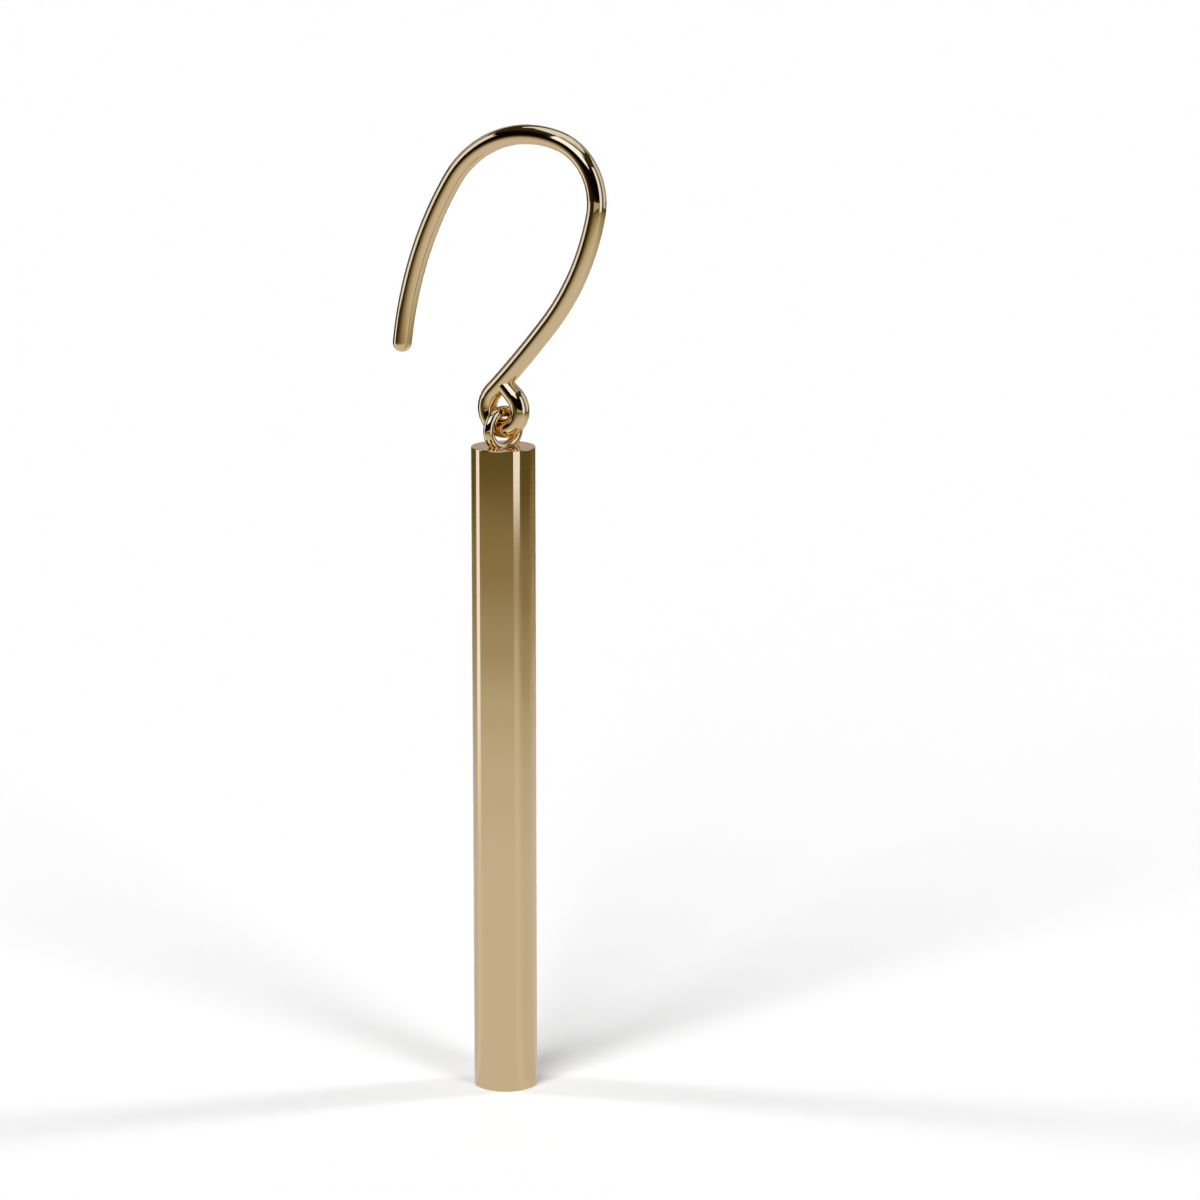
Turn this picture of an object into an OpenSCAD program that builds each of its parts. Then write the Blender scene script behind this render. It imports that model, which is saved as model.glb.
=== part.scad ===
// Bar earring: an open wire hook with an eye, and a round bar that hangs from it by a small ring.
// Millimetres. The origin is the middle of the wire at the top of the hook's crown, where the ear carries it.
// +Z is up. The hook lies in the XZ plane, with its free tail towards -X and its neck towards +X.

/* [Hook] */
// Thickness of the hook's wire
wire_d = 0.9; // [0.7:0.02:1.1]
// Radius of the crown, to the middle of the wire, as all radii of the hook
crown_r = 5.3; // [4.5:0.1:7]
// Turn of the crown from its top down towards the tail, in degrees
crown_tail_turn = 56.8; // [45:0.1:65]
// Turn of the crown from its top down towards the front, in degrees
crown_front_turn = 15.9; // [10:0.1:25]
// Radius of the tail's gentle curve
tail_r = 18.3; // [12:0.1:40]
// Length of the tail along its curve, up to its round end
tail_length = 8.4; // [5:0.1:11]
// Radius of the tight bend at the front
front_r = 2.83; // [2.4:0.01:3.6]
// Turn of the tight bend at the front, in degrees
front_turn = 86; // [78:0.5:94]
// Radius of the wide bend above the neck
shoulder_r = 11.9; // [9:0.1:18]
// Turn of the wide bend above the neck, in degrees
shoulder_turn = 27.8; // [22:0.1:34]
// Radius of the neck, which is almost straight
neck_r = 53; // [30:1:120]
// Length of the neck along its curve, down to the eye
neck_length = 4.65; // [3.5:0.05:7]

/* [Eye and ring] */
// Thickness of the ring's wire
ring_wire_d = 0.52; // [0.36:0.02:0.7]
// Play of the ring's wire inside the eye
eye_play = 0.38; // [0.3:0.02:0.6]
// Play of the hook's wire inside the ring
ring_play = 0.3; // [0.24:0.02:0.6]
// Clearance under the top of the ring, where it hangs on the eye
link_gap = 0.09; // [0.07:0.01:0.14]
// Radius of the wider bend that leads from the neck into the eye
eye_bend_r = 1.2; // [1:0.05:1.6]
// Turn of the wider bend that leads from the neck into the eye, in degrees
eye_bend_turn = 36; // [20:1:50]
// Turn of the wire round the eye after that bend, before its end runs straight into the neck, in degrees
eye_turn = 234.5; // [225:0.5:245]
// Taper of the wire's filed end, on its thickness
eye_end_taper = 0.1; // [0.06:0.01:0.2]
// Reach of the filed end into the eye's own stretch, where the taper starts
eye_end_lap = 0.1; // [0.05:0.01:0.15]
// Height of the ring's bore above the top of the bar, which the ring's lowest stretch is soldered into
ring_lift = 0.18; // [0.04:0.01:0.3]
// Place of the ring on the eye's lowest stretch, from the eye's middle towards the tail
ring_shift = 0.03; // [0:0.01:0.04]
// Turn of the ring and its bar about the upright, from square to the hook, in degrees
ring_turn = 18; // [-22:1:22]

/* [Bar] */
// Diameter of the bar
bar_d = 3; // [2.6:0.1:5]
// Length of the bar
bar_length = 31; // [12:0.5:50]
// Rounding of the bar's two rims
bar_rim_r = 0.05; // [0.02:0.01:0.3]

/* [Hidden] */
$fn = 64;
gold = [0.83, 0.66, 0.38];

// Angles are kept to hundredths of a degree, so that each stretch ends exactly where the next one starts
function hundredths(angle) = round(angle * 100) / 100;

// Middle of the next stretch's circle, where a stretch of radius r ends at the angle at.
// A next radius below zero turns the wire the other way.
function next_middle(middle, r, next_r, at) = middle + (r - next_r) * [cos(at), sin(at)];

// The wire, stretch by stretch from the crown: the middle of each circle and the angles on it,
// counted in the XZ plane from +X towards +Z
crown_middle = [0, -crown_r];
crown_front = hundredths(90 - crown_front_turn);
crown_tail = hundredths(90 + crown_tail_turn);
tail_middle = next_middle(crown_middle, crown_r, tail_r, crown_tail);
tail_turn = hundredths(tail_length / tail_r * 180 / PI);
front_middle = next_middle(crown_middle, crown_r, front_r, crown_front);
front_end = hundredths(crown_front - front_turn);
shoulder_middle = next_middle(front_middle, front_r, shoulder_r, front_end);
shoulder_end = hundredths(front_end - shoulder_turn);
neck_middle = next_middle(shoulder_middle, shoulder_r, neck_r, shoulder_end);
neck_turn = hundredths(neck_length / neck_r * 180 / PI);
neck_end = hundredths(shoulder_end - neck_turn);

// The eye is a circle that the ring's wire hangs in, behind a wider bend out of the neck
eye_r = (ring_wire_d + eye_play + wire_d) / 2;
eye_bend_middle = next_middle(neck_middle, neck_r, -eye_bend_r, neck_end);
eye_bend_start = neck_end + 180;
eye_start = eye_bend_start + eye_bend_turn;
eye_middle = next_middle(eye_bend_middle, eye_bend_r, eye_r, eye_start);

// The wire's end leaves the eye straight and stops at the middle of the neck's wire
end_turn = eye_start + eye_turn;
end_place = eye_middle + eye_r * [cos(end_turn), sin(end_turn)];
end_heading = [-sin(end_turn), cos(end_turn)];
neck_out = [cos(eye_bend_start), sin(eye_bend_start)];
neck_foot = eye_bend_middle + eye_bend_r * neck_out;
eye_end_length = ((neck_foot - end_place) * neck_out) / (end_heading * neck_out);

// The ring hangs on the lowest stretch of the eye, and the bar stands under the ring
ring_x = eye_middle[0] - ring_shift;
ring_r = (wire_d + ring_play + ring_wire_d) / 2;
ring_z = eye_middle[1] - eye_r + wire_d / 2 + link_gap - ring_r + ring_wire_d / 2;
bar_top_z = ring_z - ring_r + ring_wire_d / 2 - ring_lift;

// Moves its children to a point [x, z] in the hook's plane, by whole thousandths and then by the rest,
// which keeps the last digits that one long number would lose
module at_point(point) {
    rounded = [for (c = point) round(c * 1000) / 1000];
    translate([rounded[0], 0, rounded[1]])
        translate([point[0] - rounded[0], 0, point[1] - rounded[1]])
            children();
}

// A stretch of the hook's wire, round a middle point and over a turn from the angle start
module wire_stretch(middle, r, start, turn) {
    at_point(middle)
        rotate([90, 0, 0])
            rotate_extrude(start = start, angle = turn)
                translate([r, 0])
                    circle(d = wire_d);
}

// The round end of the tail
module tail_end() {
    angle = crown_tail + tail_turn;
    at_point(tail_middle + tail_r * [cos(angle), sin(angle)])
        sphere(d = wire_d);
}

// The wire's filed end: it leaves the eye straight, a little thinner than the wire, and runs into the neck
module eye_end() {
    at_point(end_place - eye_end_lap * end_heading)
        rotate([0, -end_turn, 0])
            cylinder(
                h = eye_end_lap + eye_end_length,
                d1 = wire_d - eye_end_taper / 4,
                d2 = wire_d - eye_end_taper
            );
}

module ear_hook() {
    color(gold)
        union() {
            wire_stretch(crown_middle, crown_r, crown_front, crown_tail - crown_front);
            wire_stretch(tail_middle, tail_r, crown_tail, tail_turn);
            tail_end();
            wire_stretch(front_middle, front_r, front_end, crown_front - front_end);
            wire_stretch(shoulder_middle, shoulder_r, shoulder_end, front_end - shoulder_end);
            wire_stretch(neck_middle, neck_r, neck_end, neck_turn);
            wire_stretch(eye_bend_middle, eye_bend_r, eye_bend_start, eye_bend_turn);
            wire_stretch(eye_middle, eye_r, eye_start, eye_turn);
            eye_end();
        }
}

// Half outline of the bar with its two rounded rims, from its foot up
module bar_outline() {
    square([bar_d / 2 - bar_rim_r, bar_length]);
    translate([0, bar_rim_r])
        square([bar_d / 2, bar_length - 2 * bar_rim_r]);
    for (height = [bar_rim_r, bar_length - bar_rim_r])
        translate([bar_d / 2 - bar_rim_r, height])
            circle(r = bar_rim_r);
}

// The ring, upright in the YZ plane
module ring() {
    rotate([0, 90, 0])
        rotate_extrude()
            translate([ring_r, 0])
                circle(d = ring_wire_d);
}

// The round bar and the ring soldered into its top are one solid
module bar_drop() {
    color(gold)
        translate([ring_x, 0, 0])
            rotate([0, 0, -ring_turn])
                union() {
                    translate([0, 0, bar_top_z - bar_length])
                        rotate_extrude()
                            bar_outline();
                    translate([0, 0, ring_z])
                        ring();
                }
}

ear_hook();
bar_drop();
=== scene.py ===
"""Looks of the bar earring: a polished ear hook and a round bar that hangs from it by a small ring.

The meshes follow the solids of the CAD model, in metres and in the same frame. +Z is up, and the
hook lies in the XZ plane with its tail towards -X.
"""

import math

import bmesh
import bpy
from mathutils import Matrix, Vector


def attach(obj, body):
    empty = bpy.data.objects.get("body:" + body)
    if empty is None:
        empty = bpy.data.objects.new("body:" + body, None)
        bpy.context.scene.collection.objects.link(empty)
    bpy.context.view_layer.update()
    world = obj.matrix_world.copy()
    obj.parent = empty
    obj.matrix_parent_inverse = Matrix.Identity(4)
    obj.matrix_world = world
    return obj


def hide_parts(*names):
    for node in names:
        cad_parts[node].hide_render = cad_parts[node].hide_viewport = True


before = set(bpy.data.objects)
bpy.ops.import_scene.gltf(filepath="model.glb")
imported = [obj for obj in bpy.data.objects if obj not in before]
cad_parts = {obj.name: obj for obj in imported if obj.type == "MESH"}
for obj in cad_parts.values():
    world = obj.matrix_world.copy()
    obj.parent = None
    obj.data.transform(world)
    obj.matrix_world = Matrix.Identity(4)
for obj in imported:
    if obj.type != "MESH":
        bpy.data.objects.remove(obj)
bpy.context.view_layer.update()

MM = 0.001

# Sizes of the CAD model, in millimetres and degrees
WIRE_R = 0.45
CROWN_R = 5.3
CROWN_TAIL = 146.8
CROWN_FRONT = 74.1
TAIL_R = 18.3
TAIL_END = 173.1
FRONT_R = 2.83
FRONT_END = -11.9
SHOULDER_R = 11.9
SHOULDER_END = -39.7
NECK_R = 53.0
NECK_END = -44.73
EYE_BEND_R = 1.2
EYE_BEND_TURN = 36.0
EYE_R = 0.90
EYE_TURN = 234.5
EYE_END_TAPER = 0.1
RING_WIRE_R = 0.26
RING_R = 0.86
LINK_GAP = 0.09
RING_LIFT = 0.18
RING_SHIFT = 0.03
RING_TURN = 18.0
BAR_R = 1.5
BAR_LENGTH = 31.0
BAR_RIM_R = 0.05

# Fineness of the hook's mesh: sides of the wire, rows of its two ends and steps along its stretches
WIRE_SIDES = 72
TAIL_CAP_ROWS = 20
FILED_END_ROWS = 26
LONG_STEP = 0.07
BEND_STEP = 0.06
TIGHT_STEP = 0.05
EYE_STEP = 0.03

# Fineness of the ring's and the bar's meshes
RING_ROWS = 200
RING_SIDES = 48
BAR_SIDES = 240
BAR_ROWS = 62
RIM_ROWS = 8
END_FACE_RADII = (0.15, 0.3, 0.5, 0.75, 1.0, 1.25, 1.38)
# Width of the faces beside a rim, which keep the shading of the end face and of the side clean
RIM_EDGE = 0.003


def polar(middle, r, degrees):
    """A place on a circle in the hook's plane, by its angle from +X towards +Z."""
    a = math.radians(degrees)
    return (middle[0] + r * math.cos(a), middle[1] + r * math.sin(a))


def next_middle(middle, r, next_r, at):
    """Middle of the next stretch's circle, where a stretch of radius r ends at the angle at."""
    return polar(middle, r - next_r, at)


def heading_at(degrees):
    """Heading of the wire at an angle of its circle, where it runs from +X towards +Z."""
    a = math.radians(degrees)
    return (-math.sin(a), math.cos(a))


CROWN_MIDDLE = (0.0, -CROWN_R)
TAIL_MIDDLE = next_middle(CROWN_MIDDLE, CROWN_R, TAIL_R, CROWN_TAIL)
FRONT_MIDDLE = next_middle(CROWN_MIDDLE, CROWN_R, FRONT_R, CROWN_FRONT)
SHOULDER_MIDDLE = next_middle(FRONT_MIDDLE, FRONT_R, SHOULDER_R, FRONT_END)
NECK_MIDDLE = next_middle(SHOULDER_MIDDLE, SHOULDER_R, NECK_R, SHOULDER_END)
EYE_BEND_MIDDLE = next_middle(NECK_MIDDLE, NECK_R, -EYE_BEND_R, NECK_END)
EYE_BEND_START = NECK_END + 180
EYE_START = EYE_BEND_START + EYE_BEND_TURN
EYE_MIDDLE = next_middle(EYE_BEND_MIDDLE, EYE_BEND_R, EYE_R, EYE_START)
END_TURN = EYE_START + EYE_TURN
END_PLACE = polar(EYE_MIDDLE, EYE_R, END_TURN)
END_HEADING = heading_at(END_TURN)
NECK_OUT = polar((0.0, 0.0), 1.0, EYE_BEND_START)
NECK_FOOT = polar(EYE_BEND_MIDDLE, EYE_BEND_R, EYE_BEND_START)


def along_neck_out(direction):
    return direction[0] * NECK_OUT[0] + direction[1] * NECK_OUT[1]


END_TO_NECK = (NECK_FOOT[0] - END_PLACE[0], NECK_FOOT[1] - END_PLACE[1])
EYE_END_LENGTH = along_neck_out(END_TO_NECK) / along_neck_out(END_HEADING)
RING_X = EYE_MIDDLE[0] - RING_SHIFT
RING_Z = EYE_MIDDLE[1] - EYE_R + WIRE_R + LINK_GAP - RING_R + RING_WIRE_R
BAR_TOP_Z = RING_Z - RING_R + RING_WIRE_R - RING_LIFT
BAR_FOOT_Z = BAR_TOP_Z - BAR_LENGTH


# Meshes

def skin(count, sides, closed=False):
    """Faces over rows that are loops of points. Closed joins the last row to the first."""
    faces = []
    for i in range(count if closed else count - 1):
        k = (i + 1) % count
        for j in range(sides):
            n = (j + 1) % sides
            faces.append((i * sides + j, i * sides + n, k * sides + n, k * sides + j))
    return faces


def cap(places, faces, first, sides, tip, flip):
    """Closes an end with a fan onto one tip."""
    places.append(tip)
    t = len(places) - 1
    for j in range(sides):
        n = (j + 1) % sides
        faces.append((first + n, first + j, t) if flip else (first + j, first + n, t))


def arc(middle, r, start, end, step):
    """Places and headings on a stretch of the hook, between two angles, without the last."""
    turn = 1 if end > start else -1
    count = max(2, int(abs(math.radians(end - start)) * r / step))
    rows = []
    for i in range(count):
        degrees = start + (end - start) * i / count
        hx, hz = heading_at(degrees)
        rows.append((polar(middle, r, degrees), (turn * hx, turn * hz)))
    return rows


def tube(rows, radii, sides):
    """A swept round tube in the XZ plane. Every row has a place and a heading."""
    places = []
    for ((x, z), (hx, hz)), radius in zip(rows, radii):
        for j in range(sides):
            a = 2 * math.pi * j / sides
            out = radius * math.cos(a)
            places.append((x + out * hz, radius * math.sin(a), z - out * hx))
    return places, skin(len(rows), sides)


def hook_mesh():
    """The whole wire as one tube, from the round end of the tail to the filed end on the neck."""
    rows, radii = [], []
    # Round end of the tail, as rows of a half ball
    tail_x, tail_z = polar(TAIL_MIDDLE, TAIL_R, TAIL_END)
    hx, hz = (-h for h in heading_at(TAIL_END))
    for i in range(1, TAIL_CAP_ROWS):
        b = math.pi / 2 * i / TAIL_CAP_ROWS
        back = WIRE_R * math.cos(b)
        rows.append(((tail_x - back * hx, tail_z - back * hz), (hx, hz)))
        radii.append(WIRE_R * math.sin(b))
    for stretch in (
        (TAIL_MIDDLE, TAIL_R, TAIL_END, CROWN_TAIL, LONG_STEP),
        (CROWN_MIDDLE, CROWN_R, CROWN_TAIL, CROWN_FRONT, BEND_STEP),
        (FRONT_MIDDLE, FRONT_R, CROWN_FRONT, FRONT_END, TIGHT_STEP),
        (SHOULDER_MIDDLE, SHOULDER_R, FRONT_END, SHOULDER_END, BEND_STEP),
        (NECK_MIDDLE, NECK_R, SHOULDER_END, NECK_END, LONG_STEP),
        (EYE_BEND_MIDDLE, EYE_BEND_R, EYE_BEND_START, EYE_START, EYE_STEP),
        (EYE_MIDDLE, EYE_R, EYE_START, END_TURN, EYE_STEP),
    ):
        body = arc(*stretch)
        rows += body
        radii += [WIRE_R] * len(body)
    # The filed end: straight, a little thinner, into the neck's own wire
    for i in range(FILED_END_ROWS + 1):
        s = i / FILED_END_ROWS
        far = s * EYE_END_LENGTH
        place = (END_PLACE[0] + far * END_HEADING[0], END_PLACE[1] + far * END_HEADING[1])
        rows.append((place, END_HEADING))
        radii.append(WIRE_R - EYE_END_TAPER / 2 * s)
    places, faces = tube(rows, radii, WIRE_SIDES)
    tip = (tail_x - WIRE_R * hx, 0.0, tail_z - WIRE_R * hz)
    cap(places, faces, 0, WIRE_SIDES, tip, True)
    (x, z), _ = rows[-1]
    cap(places, faces, (len(rows) - 1) * WIRE_SIDES, WIRE_SIDES, (x, 0.0, z), False)
    return places, faces


def lathe(outline, sides):
    """A turned shape from an outline of radius and height that starts and ends on the axis."""
    rings = outline[1:-1]
    places = []
    for r, z in rings:
        for j in range(sides):
            a = 2 * math.pi * j / sides
            places.append((r * math.cos(a), r * math.sin(a), z))
    faces = skin(len(rings), sides)
    cap(places, faces, 0, sides, (0.0, 0.0, outline[0][1]), True)
    cap(places, faces, (len(rings) - 1) * sides, sides, (0.0, 0.0, outline[-1][1]), False)
    return places, faces


def bar_mesh():
    """The bar, upright round the Z axis, with its two rims rounded."""
    flat = BAR_R - BAR_RIM_R
    side = BAR_LENGTH - 2 * BAR_RIM_R
    end_face = (*END_FACE_RADII, flat - RIM_EDGE)

    def rim(start, height):
        rows = []
        for i in range(RIM_ROWS + 1):
            a = start + math.pi / 2 * i / RIM_ROWS
            rows.append((flat + BAR_RIM_R * math.cos(a), height + BAR_RIM_R * math.sin(a)))
        return rows

    outline = [(0.0, 0.0)]
    outline += [(r, 0.0) for r in end_face]
    outline += rim(-math.pi / 2, BAR_RIM_R)
    outline.append((BAR_R, BAR_RIM_R + RIM_EDGE))
    outline += [(BAR_R, BAR_RIM_R + side * i / BAR_ROWS) for i in range(1, BAR_ROWS)]
    outline.append((BAR_R, BAR_LENGTH - BAR_RIM_R - RIM_EDGE))
    outline += rim(0.0, BAR_LENGTH - BAR_RIM_R)
    outline += [(r, BAR_LENGTH) for r in reversed(end_face)]
    outline.append((0.0, BAR_LENGTH))
    places, faces = lathe(outline, BAR_SIDES)
    return [(x, y, z + BAR_FOOT_Z) for x, y, z in places], faces


def ring_mesh():
    """The small ring, upright in the YZ plane."""
    places = []
    for i in range(RING_ROWS):
        a = 2 * math.pi * i / RING_ROWS
        for j in range(RING_SIDES):
            b = 2 * math.pi * j / RING_SIDES
            r = RING_R + RING_WIRE_R * math.cos(b)
            places.append((RING_WIRE_R * math.sin(b), r * math.sin(a), RING_Z + r * math.cos(a)))
    return places, skin(RING_ROWS, RING_SIDES, closed=True)


def joined(*parts):
    places, faces = [], []
    for part_places, part_faces in parts:
        first = len(places)
        places += part_places
        faces += [tuple(first + i for i in face) for face in part_faces]
    return places, faces


def turned(part, degrees, x):
    """Turns a part about the upright and moves it along X."""
    a = math.radians(degrees)
    c, s = math.cos(a), math.sin(a)
    places, faces = part
    return [(px * c - py * s + x, px * s + py * c, pz) for px, py, pz in places], faces


def linked(name, mesh, material):
    """A new object in the scene, from a mesh and its material."""
    mesh.materials.append(material)
    made = bpy.data.objects.new(name, mesh)
    bpy.context.scene.collection.objects.link(made)
    return made


def make_piece(name, part, material):
    """A smooth-shaded piece of the earring, from places in millimetres and faces."""
    places, faces = part
    mesh = bpy.data.meshes.new(name)
    mesh.from_pydata([(x * MM, y * MM, z * MM) for x, y, z in places], [], faces)
    mesh.validate()
    bm = bmesh.new()
    bm.from_mesh(mesh)
    for face in bm.faces:
        face.smooth = True
    bmesh.ops.recalc_face_normals(bm, faces=bm.faces)
    bm.to_mesh(mesh)
    bm.free()
    return linked(name, mesh, material)


# Material nodes

def node(tree, kind, **values):
    made = tree.nodes.new(kind)
    for key, value in values.items():
        setattr(made, key, value)
    return made


def maths(tree, operation, *values):
    """A maths node's result. Each value is a number or another node's output."""
    made = node(tree, "ShaderNodeMath", operation=operation)
    for socket, value in zip(made.inputs, values):
        if isinstance(value, (int, float)):
            socket.default_value = value
        else:
            tree.links.new(value, socket)
    return made.outputs[0]


def ranged(tree, value, source, target=(0.0, 1.0), interpolation="SMOOTHSTEP"):
    """A value taken from one range to another."""
    made = node(tree, "ShaderNodeMapRange", interpolation_type=interpolation)
    for key, number in zip(("From Min", "From Max", "To Min", "To Max"), (*source, *target)):
        made.inputs[key].default_value = number
    tree.links.new(value, made.inputs["Value"])
    return made.outputs["Result"]


def noise(tree, place, scale, detail):
    made = node(tree, "ShaderNodeTexNoise")
    made.inputs["Scale"].default_value = scale
    made.inputs["Detail"].default_value = detail
    tree.links.new(place, made.inputs["Vector"])
    return made.outputs["Fac"]


# Colour of polished gold straight on, and the tint that it keeps near its edges
GOLD = (0.90, 0.63, 0.27)
GOLD_EDGE_TINT = (0.975, 0.91, 0.82)
# Noise scales per metre: clouds of a few millimetres, and a grain of about a tenth of one
CLOUD_SCALE = 420.0
GRAIN_SCALE = 9000.0
GRAIN_STRENGTH = 0.1
GRAIN_DEPTH = 0.000002


def gold_material(name, roughness):
    """Polished yellow gold, with faint clouds in its roughness and a very fine grain."""
    made = bpy.data.materials.new(name)
    made.use_nodes = True
    tree = made.node_tree
    shader = tree.nodes["Principled BSDF"]
    shader.inputs["Base Color"].default_value = (*GOLD, 1)
    shader.inputs["Metallic"].default_value = 1.0
    shader.inputs["Specular Tint"].default_value = (*GOLD_EDGE_TINT, 1)
    place = node(tree, "ShaderNodeTexCoord").outputs["Object"]
    clouds = noise(tree, place, CLOUD_SCALE, 3.0)
    rough = ranged(tree, clouds, (0.35, 0.7), roughness, "LINEAR")
    tree.links.new(rough, shader.inputs["Roughness"])
    relief = node(tree, "ShaderNodeBump")
    relief.inputs["Strength"].default_value = GRAIN_STRENGTH
    relief.inputs["Distance"].default_value = GRAIN_DEPTH
    tree.links.new(noise(tree, place, GRAIN_SCALE, 2.0), relief.inputs["Height"])
    tree.links.new(relief.outputs["Normal"], shader.inputs["Normal"])
    return made


hook = make_piece("ear_hook_wire", hook_mesh(), gold_material("gold_wire", (0.04, 0.08)))
drop_mesh = turned(joined(bar_mesh(), ring_mesh()), -RING_TURN, RING_X)
drop = make_piece("bar_and_ring", drop_mesh, gold_material("gold_bar", (0.03, 0.06)))

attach(hook, "hook")
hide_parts("ear_hook")
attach(drop, "drop")
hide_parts("bar_drop")


# Stage: a white floor for the camera, cards that only the metal sees, and light that only the floor
# takes. Azimuths are in degrees round the bar's foot: 0 is straight away from the camera and 90 to
# its right. Elevations are in degrees, and distances and heights in metres.

# Turn of the picture from the part's own axes, in degrees
PICTURE_TURN = 32.0
FOOT = Vector((RING_X * MM, 0.0, BAR_FOOT_Z * MM))
FLOOR_HALF_SIDE = 6.0
# Height of the middle of the dome of cards over the foot
DOME_HEIGHT = 0.038
# Small steps that keep the aprons over the floor, and the pool of light under it
APRON_LIFT = 0.0002
POOL_DROP = 0.00002

# Colours as they show on screen in the gold
WHITE = (250, 240, 217)
CREAM = (234, 218, 190)
OVERHEAD = (218, 203, 175)
BEIGE = (202, 186, 160)
DUSK = (48, 36, 10)
BLACK = (8, 5, 2)

# Upright panels that glow: name, azimuths, distance, heights of the foot and the top, and colour. A
# third height is the top's at the last azimuth. The back walls and the right wing are painted
# light: they glow as lit walls show in the gold. The other panels stand for softboxes.
PANELS = [
    ("left_panel_foot", (-85, -67), 0.090, (0.0, 0.030), (236, 219, 190)),
    ("left_panel", (-97, -67), 0.090, (0.030, 0.086, 0.116), (224, 208, 180)),
    ("right_panel", (117.5, 143), 0.165, (0.0, 0.180), CREAM),
    ("right_back_panel", (60, 92), 0.21, (0.0, 0.23), BEIGE),
    ("right_wing", (92, 119), 0.25, (0.0, 0.23), (108, 92, 68)),
    ("back_wall_left", (-66, -28), 0.40, (0.0, 0.14), (84, 73, 54)),
    ("back_wall_left_upper", (-66, -28), 0.40, (0.14, 0.31), (146, 130, 104)),
    ("back_wall", (-28, 26), 0.40, (0.0, 0.30), (170, 145, 104)),
    ("back_wall_right", (26, 60), 0.40, (0.0, 0.34), (150, 136, 110)),
]

# Cards on the floor, painted light that the metal shows as patches of lit floor: name, azimuths,
# near edge, distance where the card is whole, far edge and colour
APRONS = [
    ("left_apron", (-85, -67), 0.035, 0.090, 0.090, (236, 219, 190)),
    ("right_apron", (118.5, 143), 0.122, 0.165, 0.165, CREAM),
    ("front_apron", (148, 212), 0.180, 0.225, 0.420, (169, 147, 105)),
]

# Cards on a dome: name, azimuths, lower elevation at the first and the last azimuth, upper
# elevation, distance and colour
SKY_CARDS = [
    ("high_softbox", (-178, -122), (27, 20), 57, 0.60, WHITE),
    ("softbox_corner", (166, 182), (49, 49), 58, 0.60, (226, 210, 182)),
    ("overhead_left", (-122, -60), (62, 62), 78, 0.60, OVERHEAD),
    ("overhead_back", (-60, 20), (54, 54), 78, 0.60, OVERHEAD),
    ("overhead_right", (20, 118), (57, 61), 78, 0.60, OVERHEAD),
    ("overhead_front", (118, 238), (64, 64), 78, 0.60, (168, 152, 124)),
    ("overhead_middle", (-180, 180), (78, 78), 90, 0.60, (221, 205, 176)),
    ("back_crown", (20, 62), (43, 43), 57, 0.60, (184, 168, 138)),
    ("upper_dark", (-184, 176), (38, 38), 66, 0.90, DUSK),
    ("front_dark", (-184, 176), (-12, -12), 38, 1.00, BLACK),
]

# The pool of light painted on the floor that only the metal sees: its reach, its colours by share
# of that reach, and its lobes by azimuth, strength and the cosines where each one starts and is
# whole. A lobe of negative strength makes a darker streak, painted shade.
POOL_REACH = 0.4
POOL_STOPS = [
    (0.10, (195, 173, 136)),
    (0.16, (188, 166, 128)),
    (0.20, (178, 156, 115)),
    (0.25, (158, 134, 92)),
    (0.32, (134, 110, 65)),
    (0.43, (92, 72, 30)),
    (0.60, (55, 38, 10)),
    (1.00, (30, 18, 4)),
]
POOL_LOBES = [
    (-76, 0.26, 0.972, 0.998),
    (133, 0.15, 0.972, 0.998),
    (-45, -0.09, 0.965, 0.990),
    (45, 0.08, 0.965, 0.995),
    (92, -0.08, 0.900, 0.970),
]
# How much brighter the pool is in a lobe of strength 1
LOBE_GAIN = 0.4

# Light for the white floor: soft patches of sky by azimuth, width, lowest and highest elevation and
# share of a full white light
FLOOR_LIGHTS = [
    (142, 18, 2, 48, 0.200),
    (73, 9, 6, 48, 0.154),
    (-145, 20, 14, 46, 0.330),
    (-166, 18, 16, 50, 0.240),
    (-77, 10, 6, 48, 0.147),
    (6, 70, 30, 60, 0.037),
]
PATCH_SOFTNESS = 3.0
PAPER = (0.9, 0.9, 0.9, 1)
# Strength of the white that the camera sees past the floor
BACKDROP = 1.2


def linear(colour):
    """A display colour of 0 to 255 as light."""
    shares = [c / 255 for c in colour]
    return [s / 12.92 if s <= 10 / 255 else ((s + 0.055) / 1.055) ** 2.4 for s in shares]


def glow_for(colour):
    """The light of a card that polished gold shows as this display colour."""
    return [light / tint for light, tint in zip(linear(colour), GOLD)]


def round_foot(azimuth, distance, height):
    """A place round the bar's foot."""
    a = math.radians(azimuth - PICTURE_TURN)
    return FOOT + Vector((distance * math.sin(a), distance * math.cos(a), height))


def glowing(name):
    """A material that only shines, with its tree, its output and its emission."""
    made = bpy.data.materials.new(name)
    made.use_nodes = True
    tree = made.node_tree
    tree.nodes.clear()
    out = node(tree, "ShaderNodeOutputMaterial")
    glow = node(tree, "ShaderNodeEmission")
    tree.links.new(glow.outputs["Emission"], out.inputs["Surface"])
    return made, tree, out, glow


def only_in_metal(name, mesh, material):
    """A card for reflections alone: neither the camera nor the floor takes its light."""
    card = linked(name, mesh, material)
    card.visible_camera = False
    card.visible_diffuse = False
    card.visible_shadow = False
    card.visible_transmission = False
    card.visible_volume_scatter = False


def grid_mesh(name, columns, rows, place):
    """A mesh of columns by rows of faces. Its corners are place(column, row)."""
    places = [tuple(place(i, j)) for i in range(columns + 1) for j in range(rows + 1)]
    faces = []
    for i in range(columns):
        for j in range(rows):
            k = i * (rows + 1) + j
            faces.append((k, k + 1, k + rows + 2, k + rows + 1))
    mesh = bpy.data.meshes.new(name)
    mesh.from_pydata(places, [], faces)
    return mesh


def between(ends, share):
    return ends[0] + (ends[1] - ends[0]) * share


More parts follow.
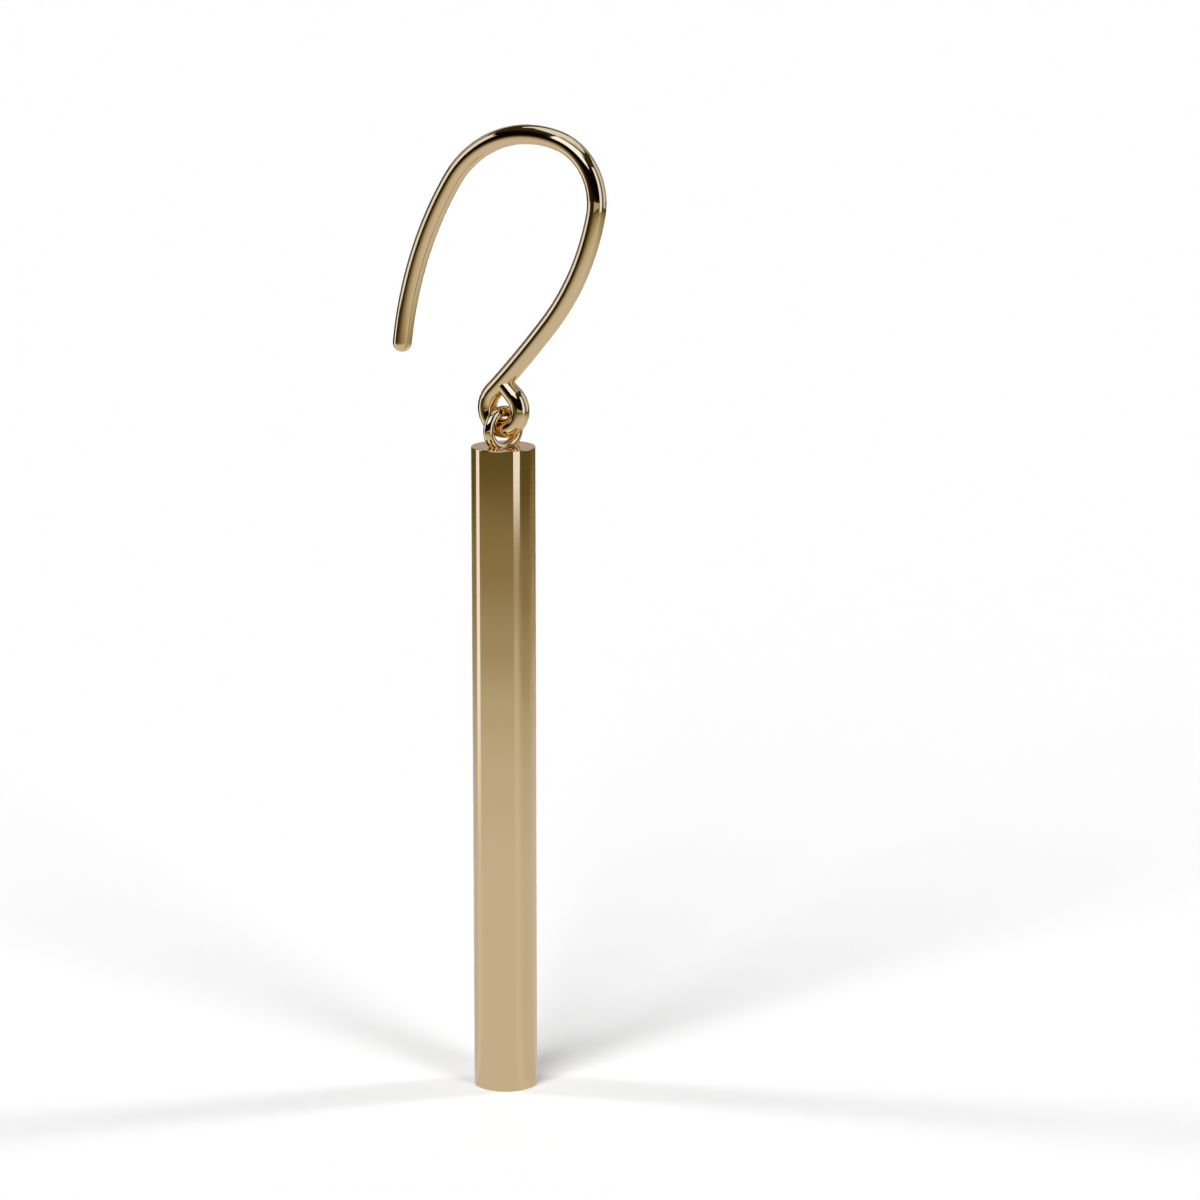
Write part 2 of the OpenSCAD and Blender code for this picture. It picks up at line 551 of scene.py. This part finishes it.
def panel(name, azimuths, distance, heights, colour, columns=8):
    """An upright curved panel that stands round the foot."""
    def place(i, j):
        top = between((heights[1], heights[-1]), i / columns)
        return round_foot(between(azimuths, i / columns), distance, top if j else heights[0])

    material, _, _, glow = glowing(name)
    glow.inputs["Color"].default_value = (*glow_for(colour), 1)
    only_in_metal(name, grid_mesh(name, columns, 1, place), material)


def apron(name, azimuths, near, whole, far, colour, columns=8):
    """A card that lies on the floor and glows, painted light of a lit floor, which fades towards
    the foot.
    """
    def place(i, j):
        return round_foot(between(azimuths, i / columns), far if j else near, APRON_LIFT)

    material, tree, out, glow = glowing(name)
    glow.inputs["Color"].default_value = (*glow_for(colour), 1)
    reach = node(tree, "ShaderNodeVectorMath", operation="DISTANCE")
    reach.inputs[1].default_value = FOOT
    coords = node(tree, "ShaderNodeTexCoord")
    tree.links.new(coords.outputs["Object"], reach.inputs[0])
    blend = node(tree, "ShaderNodeMixShader")
    tree.links.new(ranged(tree, reach.outputs["Value"], (near, whole)), blend.inputs["Fac"])
    clear = node(tree, "ShaderNodeBsdfTransparent")
    tree.links.new(clear.outputs["BSDF"], blend.inputs[1])
    tree.links.new(glow.outputs["Emission"], blend.inputs[2])
    tree.links.new(blend.outputs["Shader"], out.inputs["Surface"])
    only_in_metal(name, grid_mesh(name, columns, 1, place), material)


def sky_card(name, azimuths, lows, high, distance, colour, rows=6):
    """A part of a dome round the hook."""
    columns = 32 if azimuths[1] - azimuths[0] > 180 else 16

    def place(i, j):
        elevation = math.radians(between((between(lows, i / columns), high), j / rows))
        height = DOME_HEIGHT + distance * math.sin(elevation)
        return round_foot(between(azimuths, i / columns), distance * math.cos(elevation), height)

    material, _, _, glow = glowing(name)
    glow.inputs["Color"].default_value = (*glow_for(colour), 1)
    only_in_metal(name, grid_mesh(name, columns, rows, place), material)


def square(name, height):
    s = FLOOR_HALF_SIDE
    mesh = bpy.data.meshes.new(name)
    corners = [(-s, -s, height), (s, -s, height), (s, s, height), (-s, s, height)]
    mesh.from_pydata(corners, [], [(0, 1, 2, 3)])
    return mesh


def white_floor():
    """The floor that the camera sees. The metal doesn't show it."""
    paper = bpy.data.materials.new("white_paper")
    paper.use_nodes = True
    shader = paper.node_tree.nodes["Principled BSDF"]
    shader.inputs["Base Color"].default_value = PAPER
    shader.inputs["Roughness"].default_value = 1.0
    shader.inputs["Specular IOR Level"].default_value = 0.0
    floor = linked("floor", square("floor", FOOT.z), paper)
    floor.visible_glossy = False


def light_pool():
    """The floor that the metal sees: painted light round the foot, which reaches further in some
    lobes and, as painted shade, less far in others.
    """
    material, tree, _, glow = glowing("light_pool")
    coords = node(tree, "ShaderNodeTexCoord")
    offset = node(tree, "ShaderNodeVectorMath", operation="SUBTRACT")
    offset.inputs[1].default_value = FOOT
    tree.links.new(coords.outputs["Object"], offset.inputs[0])
    reach = node(tree, "ShaderNodeVectorMath", operation="LENGTH")
    tree.links.new(offset.outputs["Vector"], reach.inputs[0])
    heading = node(tree, "ShaderNodeVectorMath", operation="NORMALIZE")
    tree.links.new(offset.outputs["Vector"], heading.inputs[0])
    lobes = 0.0
    for azimuth, strength, start, whole in POOL_LOBES:
        lobe = node(tree, "ShaderNodeVectorMath", operation="DOT_PRODUCT")
        lobe.inputs[1].default_value = round_foot(azimuth, 1.0, 0.0) - FOOT
        tree.links.new(heading.outputs["Vector"], lobe.inputs[0])
        bulge = ranged(tree, lobe.outputs["Value"], (start, whole), (0.0, strength))
        lobes = maths(tree, "ADD", lobes, bulge)
    shorter = maths(tree, "SUBTRACT", 1.0, lobes)
    scaled = maths(tree, "MULTIPLY", reach.outputs["Value"], shorter)
    ramp = node(tree, "ShaderNodeValToRGB")
    ramp.color_ramp.interpolation = "EASE"
    elements = ramp.color_ramp.elements
    while len(elements) < len(POOL_STOPS):
        elements.new(0.5)
    for element, (at, colour) in zip(elements, POOL_STOPS):
        element.position = at
        element.color = (*glow_for(colour), 1)
    tree.links.new(maths(tree, "DIVIDE", scaled, POOL_REACH), ramp.inputs["Fac"])
    tree.links.new(ramp.outputs["Color"], glow.inputs["Color"])
    tree.links.new(maths(tree, "MULTIPLY_ADD", lobes, LOBE_GAIN, 1.0), glow.inputs["Strength"])
    only_in_metal("light_pool", square("light_pool", FOOT.z - POOL_DROP), material)


def window(tree, source, low, high):
    """1 between two angles, with soft sides."""
    sides = []
    for angle, target in ((low, (0.0, 1.0)), (high, (1.0, 0.0))):
        ends = (math.radians(angle - PATCH_SOFTNESS), math.radians(angle + PATCH_SOFTNESS))
        sides.append(ranged(tree, source, ends, target))
    return maths(tree, "MULTIPLY", *sides)


def patch_strength(share, width, low, high):
    """Radiance of a patch that gives the floor this share of a full white light."""
    lowest, highest = math.radians(low), math.radians(high)
    height = math.sin(highest) ** 2 - math.sin(lowest) ** 2
    return share * math.pi / (math.radians(width) * height / 2)


def sky():
    """The world: patches that light the white floor, and plain white for the camera."""
    world = bpy.data.worlds.new("studio")
    bpy.context.scene.world = world
    world.use_nodes = True
    world.cycles_visibility.glossy = False
    world.cycles_visibility.transmission = False
    tree = world.node_tree
    tree.nodes.clear()
    coords = node(tree, "ShaderNodeTexCoord")
    axes = node(tree, "ShaderNodeSeparateXYZ")
    tree.links.new(coords.outputs["Generated"], axes.inputs[0])
    # Bearing in the part's own axes, from +Y towards +X
    bearing = maths(tree, "ARCTAN2", axes.outputs["X"], axes.outputs["Y"])
    rise = maths(tree, "ARCSINE", axes.outputs["Z"])
    light = 0.0
    for azimuth, width, low, high, share in FLOOR_LIGHTS:
        middle = (azimuth - PICTURE_TURN + 180) % 360 - 180
        aside = maths(tree, "SUBTRACT", bearing, math.radians(middle))
        aside = maths(tree, "WRAP", aside, math.pi, -math.pi)
        across = window(tree, aside, -width / 2, width / 2)
        patch = maths(tree, "MULTIPLY", across, window(tree, rise, low, high))
        strength = patch_strength(share, width, low, high)
        light = maths(tree, "MULTIPLY_ADD", patch, strength, light)
    seen = node(tree, "ShaderNodeBackground")
    seen.inputs["Strength"].default_value = BACKDROP
    lit = node(tree, "ShaderNodeBackground")
    tree.links.new(light, lit.inputs["Strength"])
    for each in (seen, lit):
        each.inputs["Color"].default_value = (1, 1, 1, 1)
    path = node(tree, "ShaderNodeLightPath")
    either = node(tree, "ShaderNodeMixShader")
    tree.links.new(path.outputs["Is Camera Ray"], either.inputs["Fac"])
    tree.links.new(lit.outputs["Background"], either.inputs[1])
    tree.links.new(seen.outputs["Background"], either.inputs[2])
    out = node(tree, "ShaderNodeOutputWorld")
    tree.links.new(either.outputs["Shader"], out.inputs["Surface"])


white_floor()
light_pool()
for row in PANELS:
    panel(*row)
for row in APRONS:
    apron(*row)
for row in SKY_CARDS:
    sky_card(*row)
sky()

# Camera, at the photo's place and angle
CAMERA_PLACE = (0.11815, -0.18319, 0.02441)
CAMERA_DIP = 11.97
camera_data = bpy.data.cameras.new("camera")
camera_data.lens = 142.95
camera_data.sensor_width = 36.0
camera_data.sensor_fit = "HORIZONTAL"
camera_data.clip_start = 0.01
camera_data.clip_end = 50.0
camera = bpy.data.objects.new("camera", camera_data)
bpy.context.scene.collection.objects.link(camera)
camera.location = CAMERA_PLACE
camera.rotation_euler = (math.radians(90 - CAMERA_DIP), 0, math.radians(PICTURE_TURN))
bpy.context.scene.camera = camera

bpy.context.scene.view_settings.view_transform = "Standard"
bpy.context.scene.view_settings.look = "None"
